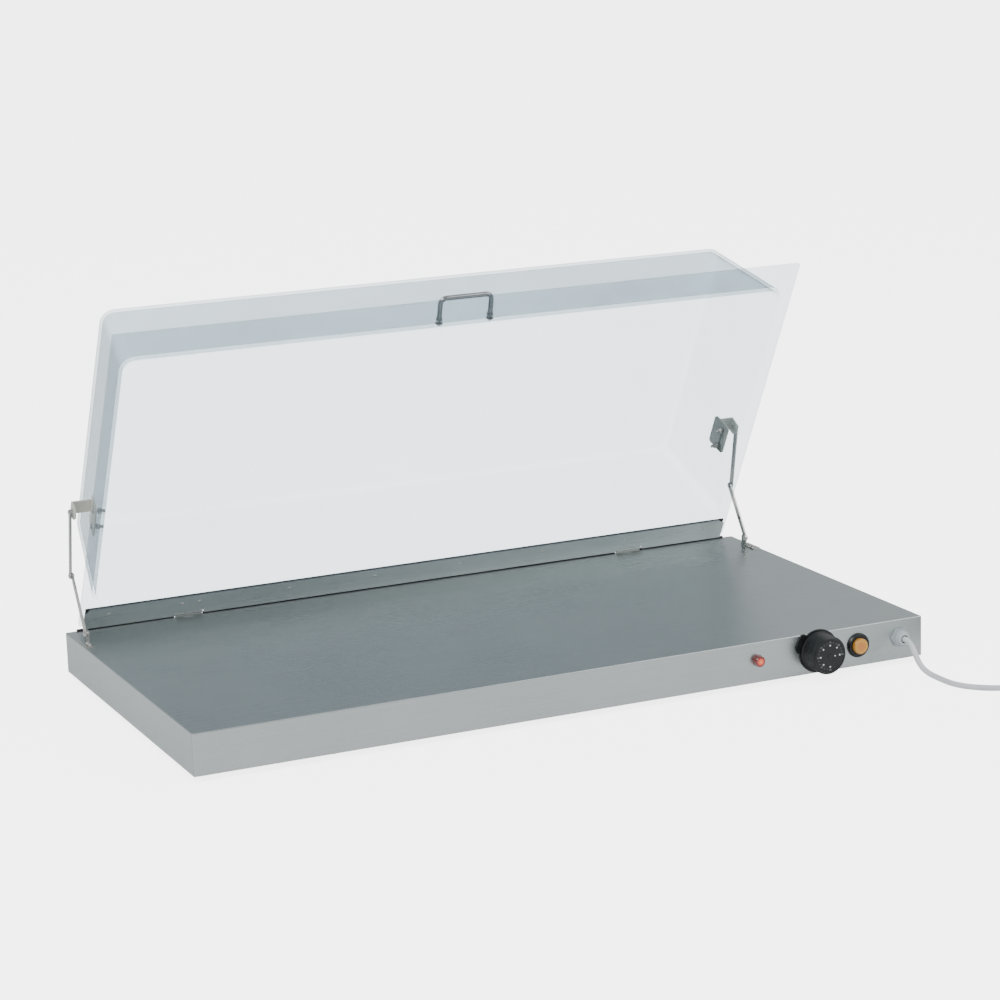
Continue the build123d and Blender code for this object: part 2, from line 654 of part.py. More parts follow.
with BuildPart() as strip_gasket:
    with BuildSketch(lid_plane(Plane.XY.offset(GASKET_Z))):
        with Locations((0, -17.0)):
            Rectangle(STRIP_W - 2, 30.0)
        with Locations((-HINGE_X, -15), (HINGE_X, -15)):
            Rectangle(HINGE_L + 0.6, 31, mode=Mode.SUBTRACT)
        with Locations(*[(x, STRIP_SCREW_Y) for x in STRIP_SCREWS]):
            Circle(1.5, mode=Mode.SUBTRACT)
    extrude(amount=GASKET_T)
save(strip_gasket, "strip_gasket")

with BuildPart() as strip_rivets:
    for x in STRIP_SCREWS:
        pin = [(STRIP_Z, 1.5), (LID_GAP + ACRYLIC, 1.5)]
        tail = [(LID_GAP + ACRYLIC, 2.4), (LID_GAP + ACRYLIC + 1.2, 1.8), (LID_GAP + ACRYLIC + 1.2, 0)]
        head = [(STRIP_Z - 0.9, 0), (STRIP_Z - 0.9, 1.4), (STRIP_Z, 2.4)]
        turn(head + pin + tail, lid_point(x, STRIP_SCREW_Y, 0), lid_dir(0, 0, 1))
save(strip_rivets, "strip_rivets")

# ---- Hinges: the base leaf goes down through the top and is riveted to the rear wall ----
KNUCKLE_GAP = 0.4
MID_HALF = HINGE_L / 6
with BuildPart() as hinge_base_leaves:
    for x in (-HINGE_X, HINGE_X):
        with BuildSketch(Plane.XZ.offset(-(AXIS_Y + KNUCKLE_R - LEAF_T))) as leaf:
            with Locations((x, AXIS_Z - LEAF_DROP / 2 - AXIS_UP)):
                Rectangle(HINGE_L, LEAF_DROP + 2 * AXIS_UP)
            with Locations((x, AXIS_Z)):
                Rectangle(2 * (MID_HALF + KNUCKLE_GAP), 6.4, mode=Mode.SUBTRACT)
            with Locations((x - 12, RIVET_Z), (x + 12, RIVET_Z)):
                Circle(1.6, mode=Mode.SUBTRACT)
        extrude(leaf.sketch, amount=-LEAF_T)
        for start in (x - HINGE_L / 2, x + MID_HALF + KNUCKLE_GAP):
            rod((start, AXIS_Y, AXIS_Z), (1, 0, 0), HINGE_L / 3 - KNUCKLE_GAP, KNUCKLE_R)
            rod((start - 1, AXIS_Y, AXIS_Z), (1, 0, 0), HINGE_L / 3 + 2, PIN_R, mode=Mode.SUBTRACT)
save(hinge_base_leaves, "hinge_base_leaves")

with BuildPart() as hinge_pins:
    for x in (-HINGE_X, HINGE_X):
        rod((x - HINGE_L / 2, AXIS_Y, AXIS_Z), (1, 0, 0), HINGE_L, PIN_R)
save(hinge_pins, "hinge_pins")

with BuildPart() as hinge_base_rivets:
    for x in RIVET_X:
        shank = [(0, 1.6), (SHEET + LEAF_T, 1.6)]
        head = [(-1.1, 0), (-1.1, 1.6), (0, 3.0)]
        tail = [(SHEET + LEAF_T, 2.6), (SHEET + LEAF_T + 1.2, 2.0), (SHEET + LEAF_T + 1.2, 0)]
        turn(head + shank + tail, (x, REAR_Y, RIVET_Z), OUT)
save(hinge_base_rivets, "hinge_base_rivets")

PIN_CLEARANCE = 0.05
with BuildPart() as hinge_lid_leaves:
    for x in (-HINGE_X, HINGE_X):
        with BuildSketch(lid_plane(Plane.XY.offset(GASKET_Z))) as leaf:
            with Locations((x, -17.0)):
                Rectangle(HINGE_L, 27)
            with Locations((x, -2.0)):
                Rectangle(2 * MID_HALF, 4.0)
            with Locations((x - 12, STRIP_SCREW_Y), (x + 12, STRIP_SCREW_Y)):
                Circle(1.5, mode=Mode.SUBTRACT)
        extrude(leaf.sketch, amount=GASKET_T)
        rod(lid_point(x - MID_HALF, 0, 0), (1, 0, 0), 2 * MID_HALF, KNUCKLE_R)
        rod(lid_point(x - MID_HALF - 1, 0, 0), (1, 0, 0), 2 * MID_HALF + 2, PIN_R + PIN_CLEARANCE,
            mode=Mode.SUBTRACT)
save(hinge_lid_leaves, "hinge_lid_leaves")

# ---- Handle: a bent wire on the dome's front wall ----
COLLAR_T = 2.0
with BuildPart() as lid_handle:
    out_dir = lid_dir(*wall_out)
    left, right = [lid_point(*foot) for foot in handle_feet]
    with BuildLine() as grip:
        FilletPolyline(
            left + out_dir * COLLAR_T, left + out_dir * HANDLE_OUT,
            right + out_dir * HANDLE_OUT, right + out_dir * COLLAR_T, radius=8,
        )
    with BuildSketch(Plane(origin=grip.line @ 0, z_dir=out_dir)):
        Circle(WIRE_R)
    sweep(path=grip.line)
    for end in (left, right):
        rod(end + out_dir * COLLAR_T, out_dir, 6, 2.0, mode=Mode.SUBTRACT)
save(lid_handle, "lid_handle")

with BuildPart() as handle_collars:
    for end in (left, right):
        rod(end, out_dir, COLLAR_T, 4.6, 2.0)
        rod(end - out_dir * (ACRYLIC + 1.0), out_dir, 1.0, 5.0, 2.0)
save(handle_collars, "handle_collars")

with BuildPart() as handle_screws:
    for end in (left, right):
        screw(end - out_dir * (ACRYLIC + 1.0), out_dir, ACRYLIC + 1.0 + COLLAR_T + 6, 2.0, 3.7, 2.6)
save(handle_screws, "handle_screws")

# ---- Brackets of the folding stays ----
RIVET_R = 2.5
FIT = 0.05
EAR_T = 2.0
EAR_X = UPPER_X - ARM_T / 2 - 2.5
LEG_Z = LID_PIVOT[1] + 10.0
with BuildPart() as stay_lid_brackets:
    for s in (-1, 1):
        wall_x = s * (MOUTH_W / 2 - (47.0 - LID_GAP) * math.tan(side_slope))
        seat = lid_plane(Plane(origin=(wall_x, -152.0, 47.0), x_dir=(0, 1, 0), z_dir=side_out(s)))
        with BuildSketch(seat) as plate:
            RectangleRounded(46, 33, 5)
        extrude(plate.sketch, amount=EAR_T)
        leg_start = abs(wall_x) - 2.0
        with BuildSketch(lid_plane(Plane.XY.offset(LEG_Z - EAR_T))) as leg:
            with Locations((s * (leg_start + EAR_X) / 2, LID_PIVOT[0])):
                Rectangle(EAR_X - leg_start, 20)
        extrude(leg.sketch, amount=EAR_T)
        with BuildSketch(lid_plane(Plane(
            origin=(s * EAR_X, LID_PIVOT[0], LID_PIVOT[1]), x_dir=(0, 1, 0), z_dir=(s, 0, 0)
        ))) as ear:
            Circle(10)
            with Locations((0, (LEG_Z - LID_PIVOT[1]) / 2 * s)):
                Rectangle(20, LEG_Z - LID_PIVOT[1])
            Circle(RIVET_R, mode=Mode.SUBTRACT)
        extrude(ear.sketch, amount=-EAR_T)
    for point in bracket_screws:
        outward = lid_dir(*side_out(point[0]))
        rod(lid_point(*point) - outward, outward, 6, 2.0, mode=Mode.SUBTRACT)
    add(lid_dome.part, mode=Mode.SUBTRACT)
save(stay_lid_brackets, "stay_lid_brackets")

with BuildPart() as lid_bracket_screws:
    for point in bracket_screws:
        outward = lid_dir(*side_out(point[0]))
        screw(lid_point(*point) + outward * EAR_T, -outward, EAR_T + ACRYLIC + 9, 2.0, 3.9, 2.4)
save(lid_bracket_screws, "lid_bracket_screws")

with BuildPart() as lid_bracket_nuts:
    for point in bracket_screws:
        outward = lid_dir(*side_out(point[0]))
        inner = lid_point(*point) - outward * ACRYLIC
        rod(inner, -outward, 0.8, 4.5, 2.0)
        with BuildSketch(Plane(origin=inner - outward * 0.8, z_dir=-outward)) as nut:
            RegularPolygon(4.0, 6)
            Circle(2.0, mode=Mode.SUBTRACT)
        extrude(nut.sketch, amount=3.2)
save(lid_bracket_nuts, "lid_bracket_nuts")

foot_y = AXIS_Y + FOOT_PIVOT[0]
foot_z = AXIS_Z + FOOT_PIVOT[1]
FOOT_EAR_X = LOWER_X - ARM_T / 2 - 0.5
with BuildPart() as stay_foot_brackets:
    for s in (-1, 1):
        with BuildSketch(Plane.XY.offset(TOP_Z)) as plate:
            with Locations((s * (FOOT_EAR_X - EAR_T + 498.0) / 2, foot_y - 10.0)):
                Rectangle(498.0 - FOOT_EAR_X + EAR_T, 36)
            with Locations(*[(s * BRACKET_X, y) for y in BRACKET_SCREW_Y]):
                Circle(1.6, mode=Mode.SUBTRACT)
        extrude(plate.sketch, amount=SHEET)
        with BuildSketch(Plane(origin=(s * FOOT_EAR_X, foot_y, foot_z), x_dir=(0, 1, 0), z_dir=(s, 0, 0))) as ear:
            Circle(6)
            with Locations((0, s * (TOP_Z - foot_z) / 2)):
                Rectangle(12, foot_z - TOP_Z)
            Circle(RIVET_R, mode=Mode.SUBTRACT)
        extrude(ear.sketch, amount=-EAR_T)
save(stay_foot_brackets, "stay_foot_brackets")

with BuildPart() as foot_bracket_screws:
    for s in (-1, 1):
        for y in BRACKET_SCREW_Y:
            screw((s * BRACKET_X, y, TOP_Z + SHEET), DOWN, 8, 1.6, 3.0, 1.9)
save(foot_bracket_screws, "foot_bracket_screws")


def rivet(origin, outward, reach, bearing, cap_r, mode=Mode.ADD):
    """A shouldered rivet: head behind an ear, shoulder to the arm, head over the arm."""
    back = [(-EAR_T - 1.5, 0), (-EAR_T - 1.5, 2.6), (-EAR_T, 4.2), (-EAR_T, RIVET_R)]
    collar = [(0, RIVET_R), (0, 3.8), (reach - 0.1, 3.8), (reach - 0.1, RIVET_R)]
    over = [(reach + bearing + 0.1, RIVET_R), (reach + bearing + 0.1, cap_r),
            (reach + bearing + 1.5, cap_r * 0.6), (reach + bearing + 1.5, 0)]
    turn(back + collar + over, origin, outward, mode)


with BuildPart() as stay_foot_rivets:
    for s in (-1, 1):
        rivet((s * FOOT_EAR_X, foot_y, foot_z), (s, 0, 0), LOWER_X - ARM_T / 2 - FOOT_EAR_X, ARM_T, 4.2)
save(stay_foot_rivets, "stay_foot_rivets")

with BuildPart() as stay_lid_rivets:
    for s in (-1, 1):
        rivet(lid_point(s * EAR_X, *LID_PIVOT), (s, 0, 0), UPPER_X - ARM_T / 2 - EAR_X, ARM_T, 4.2)
save(stay_lid_rivets, "stay_lid_rivets")

# ---- Arms of the folding stays: they meet at the knee, where each carries half of the rivet ----
foot_at = Vector(0, foot_y, foot_z)
knee_at = Vector(0, AXIS_Y + KNEE[0], AXIS_Z + KNEE[1])
pivot_at = lid_point(0, *LID_PIVOT)


def arm(x, s, start, knee_side):
    """A flat arm from its own pivot to the knee, with a rivet head on the side away from the other arm."""
    length = (knee_at - start).length
    bar = Plane(origin=start + Vector(s * (x - ARM_T / 2), 0, 0), x_dir=knee_at - start, z_dir=(s, 0, 0))
    with BuildSketch(bar) as outline:
        with Locations((length / 2, 0)):
            SlotCenterToCenter(length, ARM_W)
        Circle(RIVET_R + FIT, mode=Mode.SUBTRACT)
    extrude(outline.sketch, amount=ARM_T)
    face_x = s * (x + knee_side * ARM_T / 2)
    head = [(0, 0), (0, 3.9), (0.6, 3.7), (1.4, 2.2), (1.4, 0)]
    turn(head, knee_at + Vector(face_x, 0, 0), (s * knee_side, 0, 0))


for s, side_name in ((-1, "left"), (1, "right")):
    with BuildPart() as stay_lower_arm:
        arm(LOWER_X, s, foot_at, -1)
    save(stay_lower_arm, f"stay_lower_arm_{side_name}")

    with BuildPart() as stay_upper_arm:
        arm(UPPER_X, s, pivot_at, 1)
    save(stay_upper_arm, f"stay_upper_arm_{side_name}")

# ---- Power cord: the free stretch, the coil put away beside the object, the tail and the plug ----
# Each point is (x, distance out from the front, z); the cord lies on the floor from the eighth on.
ROUTE = [
    (466.5, 12.0, 37.0),
    (466.5, 18.0, 37.0),
    (465.6, 28.0, 34.7),
    (463.8, 39.0, 28.5),
    (462.8, 48.0, 19.8),
    (463.8, 56.6, 11.4),
    (466.8, 67.5, 5.7),
    (469.6, 81.5, 3.7),
    (469.6, 96.0, 3.7),
    (470.2, 111.0, 3.7),
    (474.0, 127.0, 3.7),
    (484.0, 142.5, 3.7),
    (499.0, 156.5, 3.7),
    (518.0, 167.0, 3.7),
    (538.0, 176.0, 3.7),
    (560.0, 184.0, 3.7),
    (584.0, 189.3, 3.7),
    (610.0, 189.7, 3.7),
]
COIL_X = 610.0
COIL_OUT = 142.0
TAIL = [(657.7, 142.0, 18.5), (657.8, 128.0, 18.5), (659.0, 112.0, 19.0), (659.0, 98.0, 19.0)]
PLUG_X = 659.0


def cord_tube(points):
    """A tube of straight runs and tangent arcs; returns its arcs' radii and its length."""
    line = [Vector(x, FRONT_Y - out, z) for x, out, z in points]
    radii = []
    for before, at, after in zip(line, line[1:], line[2:]):
        half_turn = math.radians((at - before).get_angle(after - at)) / 2
        radii.append(0.45 * min((at - before).length, (after - at).length) / math.tan(half_turn))
    with BuildLine() as path:
        FilletPolyline(*line, radius=radii)
    with BuildSketch(Plane(origin=path.line @ 0, z_dir=path.line % 0)) as section:
        Circle(CORD_R)
    sweep(section.sketch, path=path.line)
    return radii, path.wire().length


with BuildPart() as power_cord:
    radii, cord_length = cord_tube(ROUTE)
save(power_cord, "power_cord")
print("cord radii", [round(r, 1) for r in radii], "length", round(cord_length, 1))
print("tube volume ratio", power_cord.part.volume / (cord_length * math.pi * CORD_R**2))

with BuildPart() as cord_tail:
    radii, tail_length = cord_tube(TAIL)
save(cord_tail, "cord_tail")
print("tail radii", [round(r, 1) for r in radii], "length", round(tail_length, 1))

with BuildPart() as cord_coil:
    inner_r = COIL_R - COIL_COLUMNS * CORD_R
    outer_r = COIL_R + COIL_COLUMNS * CORD_R
    coil_h = COIL_LAYERS * CORD_D
    ease = CORD_R * 0.8
    turn(
        [(0, inner_r + ease), (ease, inner_r), (coil_h - ease, inner_r), (coil_h, inner_r + ease),
         (coil_h, outer_r - ease), (coil_h - ease, outer_r), (ease, outer_r), (0, outer_r - ease)],
        (COIL_X, FRONT_Y - COIL_OUT, 0), UP,
    )
save(cord_coil, "cord_coil")

PLUG_R = 19.0
plug_start = (PLUG_X, FRONT_Y - TAIL[-1][1], PLUG_R)
with BuildPart() as plug_body:
    relief = [(0, 0), (0, 5.2), (22, 7.2), (24, 12.0)]
    casing = [(30, 17.5), (36, PLUG_R), (54, PLUG_R), (56, 18.0), (56, 0)]
    turn(relief + casing, plug_start, INTO)
    for s in (-1, 1):
        with BuildSketch(Plane(origin=(PLUG_X + s * 19, plug_start[1] + 56, PLUG_R), z_dir=OUT)) as slot:
            Rectangle(6, 6)
        extrude(slot.sketch, amount=16, mode=Mode.SUBTRACT)
save(plug_body, "plug_body")

with BuildPart() as plug_pins:
    for s in (-1, 1):
        pin = [(0, 0), (0, 2.4), (17.6, 2.4), (19, 1.4), (19, 0)]
        turn(pin, (PLUG_X + s * 9.5, plug_start[1] + 56, PLUG_R), INTO)
save(plug_pins, "plug_pins")

print("whole cord", round(cord_length + tail_length + COIL_TURNS * 2 * math.pi * COIL_R))
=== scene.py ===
"""Looks of a heated display plate with a clear hinged dome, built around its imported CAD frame.

Metres, +Z up, the front with its controls towards -Y. The dome stands open at rest.
"""

import math

import bmesh
import bpy
from mathutils import Matrix, Vector


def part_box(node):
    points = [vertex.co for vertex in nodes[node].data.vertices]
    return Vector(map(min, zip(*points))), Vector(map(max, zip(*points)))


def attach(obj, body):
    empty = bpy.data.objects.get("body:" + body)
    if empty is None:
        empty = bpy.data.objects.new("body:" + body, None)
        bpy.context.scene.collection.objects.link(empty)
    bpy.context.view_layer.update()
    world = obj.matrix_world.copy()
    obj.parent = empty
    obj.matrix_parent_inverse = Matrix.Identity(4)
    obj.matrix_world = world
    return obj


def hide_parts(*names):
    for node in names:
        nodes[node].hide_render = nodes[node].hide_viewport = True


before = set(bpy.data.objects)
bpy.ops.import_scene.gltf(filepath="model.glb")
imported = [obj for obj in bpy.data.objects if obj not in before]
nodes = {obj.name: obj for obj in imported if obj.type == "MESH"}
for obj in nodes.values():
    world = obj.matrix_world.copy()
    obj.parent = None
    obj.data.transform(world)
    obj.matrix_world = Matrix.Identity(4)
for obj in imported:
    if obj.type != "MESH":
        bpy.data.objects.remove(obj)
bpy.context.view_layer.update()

MM = 0.001
UP = Vector((0, 0, 1))
FRONT = Vector((0, -1, 0))
front_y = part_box("base_shell")[0].y


def facing_front(node):
    """The middle of a control's front face."""
    low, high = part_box(node)
    return Vector(((low.x + high.x) / 2, low.y, (low.z + high.z) / 2))


# ---- Camera: the photograph's viewing angle ----
CAMERA_AT = Vector((-1.5459, -3.4938, 1.1118))
CAMERA_AZIMUTH = math.radians(-24.34)
CAMERA_ELEVATION = math.radians(13.14)
CAMERA_ROLL = math.radians(-1.83)
CAMERA_LENS = 108.1


def make_camera():
    level = math.cos(CAMERA_ELEVATION)
    back = Vector((
        math.sin(CAMERA_AZIMUTH) * level,
        -math.cos(CAMERA_AZIMUTH) * level,
        math.sin(CAMERA_ELEVATION),
    ))
    right = (-back).cross(UP).normalized()
    up = right.cross(-back)
    roll = Matrix.Rotation(CAMERA_ROLL, 3, back)
    turned = Matrix((roll @ right, roll @ up, back)).transposed().to_4x4()
    data = bpy.data.cameras.new("camera")
    data.lens = CAMERA_LENS
    data.clip_end = 200
    camera = bpy.data.objects.new("camera", data)
    camera.matrix_world = Matrix.Translation(CAMERA_AT) @ turned
    bpy.context.collection.objects.link(camera)
    bpy.context.scene.camera = camera


make_camera()

# ---- Power cord: from the gland to the floor, into the coil put away past the right edge, to the plug ----
CORD_D = 7.4 * MM
CORD_R = CORD_D / 2
# Each point is (x, distance out from the front, z), as in the CAD route.
ROUTE = [
    (0.4665, 0.0120, 0.0370),
    (0.4665, 0.0180, 0.0370),
    (0.4656, 0.0280, 0.0347),
    (0.4638, 0.0390, 0.0285),
    (0.4628, 0.0480, 0.0198),
    (0.4638, 0.0566, 0.0114),
    (0.4668, 0.0675, 0.0057),
    (0.4696, 0.0815, 0.0037),
    (0.4696, 0.0960, 0.0037),
    (0.4702, 0.1110, 0.0037),
    (0.4740, 0.1270, 0.0037),
    (0.4840, 0.1425, 0.0037),
    (0.4990, 0.1565, 0.0037),
    (0.5180, 0.1670, 0.0037),
    (0.5380, 0.1760, 0.0037),
    (0.5600, 0.1840, 0.0037),
    (0.5840, 0.1893, 0.0037),
    (0.6100, 0.1897, 0.0037),
]
TAIL = [
    (0.6577, 0.1420, 0.0185),
    (0.6578, 0.1280, 0.0185),
    (0.6590, 0.1120, 0.0190),
    (0.6590, 0.0980, 0.0190),
]
COIL_AT = (0.610, 0.142)
COIL_R = 44 * MM
COIL_TURNS = 5.25
POINTS_A_TURN = 24
# Lanes of the coil in the order the cord fills them: (side of the middle radius, layer).
LANES = [(1, 0), (-1, 0), (-1, 1), (1, 1), (-1, 2), (1, 2)]
STEP_WIDTH = 0.14


def smooth(t):
    """0 to 1 with level ends."""
    t = min(1.0, max(0.0, t))
    return t * t * (3 - 2 * t)


def coil_points():
    """The turns between the route's last point and the tail's first, with a short step from lane to lane."""
    points = []
    steps = round(COIL_TURNS * POINTS_A_TURN)
    for step in range(1, steps):
        share = step / steps * len(LANES)
        side, layer = LANES[0]
        for edge in range(1, len(LANES)):
            weight = smooth((share - edge) / STEP_WIDTH + 0.5)
            side += (LANES[edge][0] - LANES[edge - 1][0]) * weight
            layer += (LANES[edge][1] - LANES[edge - 1][1]) * weight
        radius = COIL_R + side * CORD_R
        angle = 2 * math.pi * step / POINTS_A_TURN - math.pi / 2
        points.append((
            COIL_AT[0] + radius * math.cos(angle),
            COIL_AT[1] - radius * math.sin(angle),
            CORD_R + layer * CORD_D,
        ))
    return points


def make_cord():
    points = ROUTE + coil_points() + TAIL
    curve = bpy.data.curves.new("power_lead", "CURVE")
    curve.dimensions = "3D"
    curve.resolution_u = 8
    # The thickness is on the points, so the curve's box is as wide as the cord is.
    curve.bevel_depth = 1.0
    curve.bevel_resolution = 6
    curve.use_fill_caps = True
    spline = curve.splines.new("NURBS")
    spline.points.add(len(points) - 1)
    for point, (x, out, z) in zip(spline.points, points):
        point.co = (x, front_y - out, z, 1)
        point.radius = CORD_R
    spline.order_u = 3
    spline.use_endpoint_u = True
    cord = bpy.data.objects.new("power_lead", curve)
    bpy.context.collection.objects.link(cord)
    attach(cord, "root")
    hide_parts("power_cord", "cord_tail", "cord_coil")
    return cord


cord = make_cord()


# ---- Mesh helpers ----
def piece(name, mesh, body):
    """Link a mesh as a piece that rides on a body."""
    obj = bpy.data.objects.new(name, mesh)
    bpy.context.collection.objects.link(obj)
    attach(obj, body)
    return obj


def lathe(bm, profile, origin, axis, segments=48):
    """Add an outline of (distance along axis, radius) turned about the line through origin."""
    axis = Vector(axis).normalized()
    side = axis.orthogonal().normalized()
    other = axis.cross(side)
    rings = []
    for along, radius in profile:
        at = Vector(origin) + axis * along
        if radius < 1e-7:
            rings.append([bm.verts.new(at)])
            continue
        ring = []
        for i in range(segments):
            turn = 2 * math.pi * i / segments
            ring.append(bm.verts.new(at + (side * math.cos(turn) + other * math.sin(turn)) * radius))
        rings.append(ring)
    for lower, upper in zip(rings, rings[1:]):
        for i in range(segments):
            j = (i + 1) % segments
            under = [lower[i % len(lower)], lower[j % len(lower)]]
            over = [upper[j % len(upper)], upper[i % len(upper)]]
            corners = under + over
            distinct = list(dict.fromkeys(corners))
            if len(distinct) > 2:
                bm.faces.new(distinct)


def finish_mesh(bm, name, sharp_deg=35):
    """Turn a bmesh into a mesh with outward normals, smooth except across sharp edges."""
    bmesh.ops.recalc_face_normals(bm, faces=bm.faces)
    for face in bm.faces:
        face.smooth = True
    for edge in bm.edges:
        if len(edge.link_faces) == 2 and edge.calc_face_angle() > math.radians(sharp_deg):
            edge.smooth = False
    mesh = bpy.data.meshes.new(name)
    bm.to_mesh(mesh)
    bm.free()
    return mesh


# ---- Materials: procedural nodes in object coordinates, round a Principled shader ----
class Look:
    """A procedural material with short helpers for its nodes."""

    def __init__(self, name, **constants):
        self.material = bpy.data.materials.new(name)
        self.material.use_nodes = True
        self.tree = self.material.node_tree
        self.shader = next(n for n in self.tree.nodes if n.type == "BSDF_PRINCIPLED")
        self.output = next(n for n in self.tree.nodes if n.type == "OUTPUT_MATERIAL")
        self.where = self.node("ShaderNodeTexCoord").outputs["Object"]
        for socket, value in constants.items():
            self.shader.inputs[socket.replace("_", " ")].default_value = value

    def node(self, kind, **settings):
        made = self.tree.nodes.new(kind)
        for key, value in settings.items():
            setattr(made, key, value)
        return made

    def wire(self, source, target):
        """Link an output to a node's input or, by name, to the main shader."""
        if isinstance(target, str):
            target = self.shader.inputs[target]
        self.tree.links.new(source, target)

    def noise(self, scale, stretch=(1, 1, 1), detail=4.0, roughness=0.55, distortion=0.0):
        mapping = self.node("ShaderNodeMapping")
        mapping.inputs["Scale"].default_value = stretch
        self.wire(self.where, mapping.inputs["Vector"])
        noise = self.node("ShaderNodeTexNoise")
        noise.inputs["Scale"].default_value = scale
        noise.inputs["Detail"].default_value = detail
        noise.inputs["Roughness"].default_value = roughness
        noise.inputs["Distortion"].default_value = distortion
        self.wire(mapping.outputs["Vector"], noise.inputs["Vector"])
        return noise.outputs["Fac"]

    def ramp(self, source, *stops):
        """Colours by a value: each stop is (place, (r, g, b))."""
        ramp = self.node("ShaderNodeValToRGB")
        elements = ramp.color_ramp.elements
        while len(elements) < len(stops):
            elements.new(0.5)
        for element, (place, colour) in zip(elements, stops):
            element.position = place
            element.color = (*colour, 1)
        self.wire(source, ramp.inputs["Fac"])
        return ramp.outputs["Color"]

    def spread(self, source, low, high, from_low=0.3, from_high=0.7):
        """Map a value to the range low to high."""
        spread = self.node("ShaderNodeMapRange")
        spread.inputs["From Min"].default_value = from_low
        spread.inputs["From Max"].default_value = from_high
        spread.inputs["To Min"].default_value = low
        spread.inputs["To Max"].default_value = high
        self.wire(source, spread.inputs["Value"])
        return spread.outputs["Result"]

    def math(self, operation, a, b):
        """Combine two values; b may be a number."""
        combine = self.node("ShaderNodeMath", operation=operation)
        self.wire(a, combine.inputs[0])
        if isinstance(b, (int, float)):
            combine.inputs[1].default_value = b
        else:
            self.wire(b, combine.inputs[1])
        return combine.outputs["Value"]

    def bump(self, source, strength, distance):
        bump = self.node("ShaderNodeBump")
        bump.inputs["Strength"].default_value = strength
        bump.inputs["Distance"].default_value = distance
        self.wire(source, bump.inputs["Height"])
        self.wire(bump.outputs["Normal"], "Normal")

    def distance_from(self, point):
        """Distance in metres from a point of the row frame, measured across the front."""
        shift = self.node("ShaderNodeVectorMath", operation="SUBTRACT")
        self.wire(self.where, shift.inputs[0])
        shift.inputs[1].default_value = point
        flat = self.node("ShaderNodeVectorMath", operation="MULTIPLY")
        self.wire(shift.outputs["Vector"], flat.inputs[0])
        flat.inputs[1].default_value = (1, 0, 1)
        length = self.node("ShaderNodeVectorMath", operation="LENGTH")
        self.wire(flat.outputs["Vector"], length.inputs[0])
        return length.outputs["Value"]


def brushed_steel(name, dark, light, rough=(0.24, 0.36), line_bump=0.05):
    """Sheet steel with a fine lengthwise grain, faint cloudy smears and a little sparkle."""
    look = Look(name, Metallic=1.0, Anisotropic=0.25)
    along = look.noise(1.0, stretch=(6, 1400, 1400), detail=3, roughness=0.6)
    down = look.noise(1.0, stretch=(1400, 1400, 6), detail=3, roughness=0.6)
    normal = look.node("ShaderNodeTexCoord").outputs["Normal"]
    split = look.node("ShaderNodeSeparateXYZ")
    look.wire(normal, split.inputs["Vector"])
    on_end = look.math("GREATER_THAN", look.math("ABSOLUTE", split.outputs[0], 0), 0.7)
    grain = look.node("ShaderNodeMix", data_type="FLOAT")
    look.wire(on_end, grain.inputs["Factor"])
    look.wire(along, grain.inputs["A"])
    look.wire(down, grain.inputs["B"])
    grain = grain.outputs["Result"]
    clouds = look.noise(5.0, detail=5, roughness=0.6)
    tone = look.math("ADD", look.math("MULTIPLY", grain, 0.55), look.math("MULTIPLY", clouds, 0.45))
    look.wire(look.ramp(tone, (0.3, dark), (0.7, light)), "Base Color")
    look.wire(look.spread(tone, *rough), "Roughness")
    look.bump(grain, line_bump, 0.2 * MM)
    return look.material


def polished_metal(name, colour, shade, rough=(0.05, 0.14), scale=60.0):
    """Plated metal: nearly mirror bright, with faint handling marks."""
    look = Look(name, Metallic=1.0)
    marks = look.noise(scale, detail=6, roughness=0.65)
    look.wire(look.ramp(marks, (0.3, shade), (0.7, colour)), "Base Color")
    look.wire(look.spread(marks, *rough), "Roughness")
    look.bump(look.noise(scale * 20, detail=2), 0.02, 0.05 * MM)
    return look.material


def moulded(name, dark, light, rough=(0.35, 0.5), grain=1800.0, depth=0.08, coat=0.0):
    """Moulded plastic or rubber: fine texture and slight unevenness of colour."""
    look = Look(name, Coat_Weight=coat, Coat_Roughness=0.12)
    uneven = look.noise(35.0, detail=5)
    look.wire(look.ramp(uneven, (0.3, dark), (0.7, light)), "Base Color")
    look.wire(look.spread(uneven, *rough), "Roughness")
    look.bump(look.noise(grain, detail=2), depth, 0.1 * MM)
    return look.material


def clear_acrylic():
    """Clear moulded sheet: a cool tint with faint smears, glossy where it is seen at a slant."""
    look = Look("clear_acrylic", Roughness=0.06, IOR=1.45)
    smears = look.noise(7.0, stretch=(1, 1.6, 1), detail=6, roughness=0.65, distortion=0.8)
    look.wire(look.ramp(smears, (0.3, (0.60, 0.66, 0.68)), (0.7, (0.70, 0.75, 0.77))), "Base Color")
    look.wire(look.spread(smears, 0.03, 0.10, 0.45, 0.8), "Roughness")
    clear = look.node("ShaderNodeBsdfTransparent")
    look.wire(look.ramp(smears, (0.3, (0.77, 0.80, 0.82)), (0.7, (0.79, 0.83, 0.85))), clear.inputs["Color"])
    slant = look.node("ShaderNodeLayerWeight")
    slant.inputs["Blend"].default_value = 0.5
    haze = look.math("MULTIPLY_ADD", look.math("POWER", slant.outputs["Facing"], 3.0), 0.7)
    haze.node.inputs[2].default_value = 0.025
    pick = look.node("ShaderNodeMixShader")
    look.wire(haze, pick.inputs["Fac"])
    look.wire(clear.outputs["BSDF"], pick.inputs[1])
    look.wire(look.shader.outputs["BSDF"], pick.inputs[2])
    look.wire(pick.outputs["Shader"], look.output.inputs["Surface"])
    return look.material


